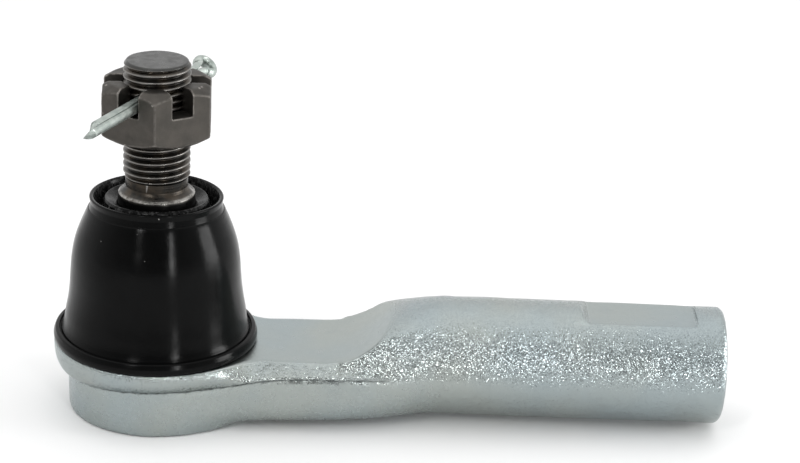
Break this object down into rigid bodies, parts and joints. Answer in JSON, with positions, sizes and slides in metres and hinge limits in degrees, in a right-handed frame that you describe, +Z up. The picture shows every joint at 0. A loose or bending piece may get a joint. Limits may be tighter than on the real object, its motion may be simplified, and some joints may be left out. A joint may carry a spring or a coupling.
{
  "type": "tie rod end",
  "caption": "Steering tie rod end: forged arm with a threaded shank, and a ball stud in a rubber dust boot that swings, tilts and turns, with a castle nut and split pin.",
  "frame": {"origin": "on the stud's axis, at the flat underside of the cup and its closing plate", "axes": "+Z up along the stud's axis at rest, towards its threaded end; +X along the shank, towards its threaded mouth"},
  "size_m": [0.1226, 0.0423, 0.0654],
  "materials": {
    "zinc_forging": "bright zinc over a forged skin, fine rough grain",
    "plate_steel": "zinc-plated pressed steel",
    "spring_steel": "oiled spring steel",
    "bearing_plastic": "natural acetal",
    "stud_steel": "dark oiled steel, turned and rolled",
    "boot_rubber": "smooth black rubber with a soft shine",
    "nut_steel": "dark warm grey phosphate, edges worn lighter",
    "zinc_wire": "dull zinc-plated wire"
  },
  "bodies": {
    "housing": {"housing": "zinc_forging", "end_plug": "plate_steel", "preload_spring": "spring_steel", "upper_ball_seat": "bearing_plastic", "boot_base_ring": "plate_steel", "dust_boot": "boot_rubber"},
    "ball_seat": {"lower_ball_seat": "bearing_plastic"},
    "boot_collar": {"boot_neck_ring": "spring_steel"},
    "ball_stud": {"ball_stud": "stud_steel", "castle_nut": "nut_steel", "cotter_pin": "zinc_wire"}
  },
  "joints": [
    {"name": "stud_swing", "type": "hinge", "parent": "housing", "child": "ball_seat", "pos_m": [0, 0, 0.014], "axis": [0, 0, 1], "continuous": true},
    {"name": "stud_tilt", "type": "hinge", "parent": "ball_seat", "child": "boot_collar", "pos_m": [0, 0, 0.014], "axis": [0, 1, 0], "range_deg": [-25, 25], "deforming": ["dust_boot"]},
    {"name": "stud_spin", "type": "hinge", "parent": "boot_collar", "child": "ball_stud", "pos_m": [0, 0, 0.014], "axis": [0, 0, 1], "continuous": true}
  ]
}
